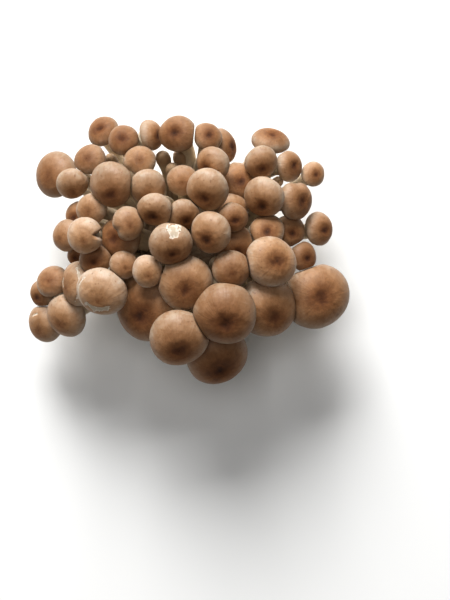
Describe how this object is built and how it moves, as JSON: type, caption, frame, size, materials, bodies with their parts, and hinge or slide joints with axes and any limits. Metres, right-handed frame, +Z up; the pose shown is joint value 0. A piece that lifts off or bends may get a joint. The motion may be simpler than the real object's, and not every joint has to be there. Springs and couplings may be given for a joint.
{
  "type": "beech mushroom cluster",
  "caption": "Bunch of young beech mushrooms on one cut foot: cream stems fan out to a low dome of brown caps, each with a dimple and an inrolled rim.",
  "frame": {"origin": "centre of the flat cut under the foot", "axes": "+Z up out of the cut through the crown, +X to the right and +Y to the top of the picture"},
  "size_m": [0.1183, 0.0978, 0.062],
  "materials": {
    "cap_skin": "satin, tan shoulder, dark brown dimple, pale rim",
    "stem_flesh": "matt cream, faint lengthwise fibres, fine gills",
    "growing_medium": "rough dark sawdust crust"
  },
  "bodies": {
    "root": {"cap_01": "cap_skin", "cap_02": "cap_skin", "cap_03": "cap_skin", "cap_04": "cap_skin", "cap_05": "cap_skin", "cap_06": "cap_skin", "cap_07": "cap_skin", "cap_08": "cap_skin", "cap_09": "cap_skin", "cap_10": "cap_skin", "cap_11": "cap_skin", "cap_12": "cap_skin", "cap_13": "cap_skin", "cap_14": "cap_skin", "cap_15": "cap_skin", "cap_16": "cap_skin", "cap_17": "cap_skin", "cap_18": "cap_skin", "cap_19": "cap_skin", "cap_20": "cap_skin", "cap_21": "cap_skin", "cap_22": "cap_skin", "cap_23": "cap_skin", "cap_24": "cap_skin", "cap_25": "cap_skin", "cap_26": "cap_skin", "cap_27": "cap_skin", "cap_28": "cap_skin", "cap_29": "cap_skin", "cap_30": "cap_skin", "cap_31": "cap_skin", "cap_32": "cap_skin", "cap_33": "cap_skin", "cap_34": "cap_skin", "cap_35": "cap_skin", "cap_36": "cap_skin", "cap_37": "cap_skin", "cap_38": "cap_skin", "cap_39": "cap_skin", "cap_40": "cap_skin", "cap_41": "cap_skin", "cap_42": "cap_skin", "cap_43": "cap_skin", "cap_44": "cap_skin", "cap_45": "cap_skin", "cap_46": "cap_skin", "cap_47": "cap_skin", "cap_48": "cap_skin", "cap_49": "cap_skin", "cap_50": "cap_skin", "cap_51": "cap_skin", "cap_52": "cap_skin", "cap_53": "cap_skin", "cap_54": "cap_skin", "cap_55": "cap_skin", "cap_56": "cap_skin", "cap_57": "cap_skin", "cap_58": "cap_skin", "stems_foot_and_gills": "stem_flesh", "growing_medium_crust": "growing_medium"}
  },
  "joints": []
}
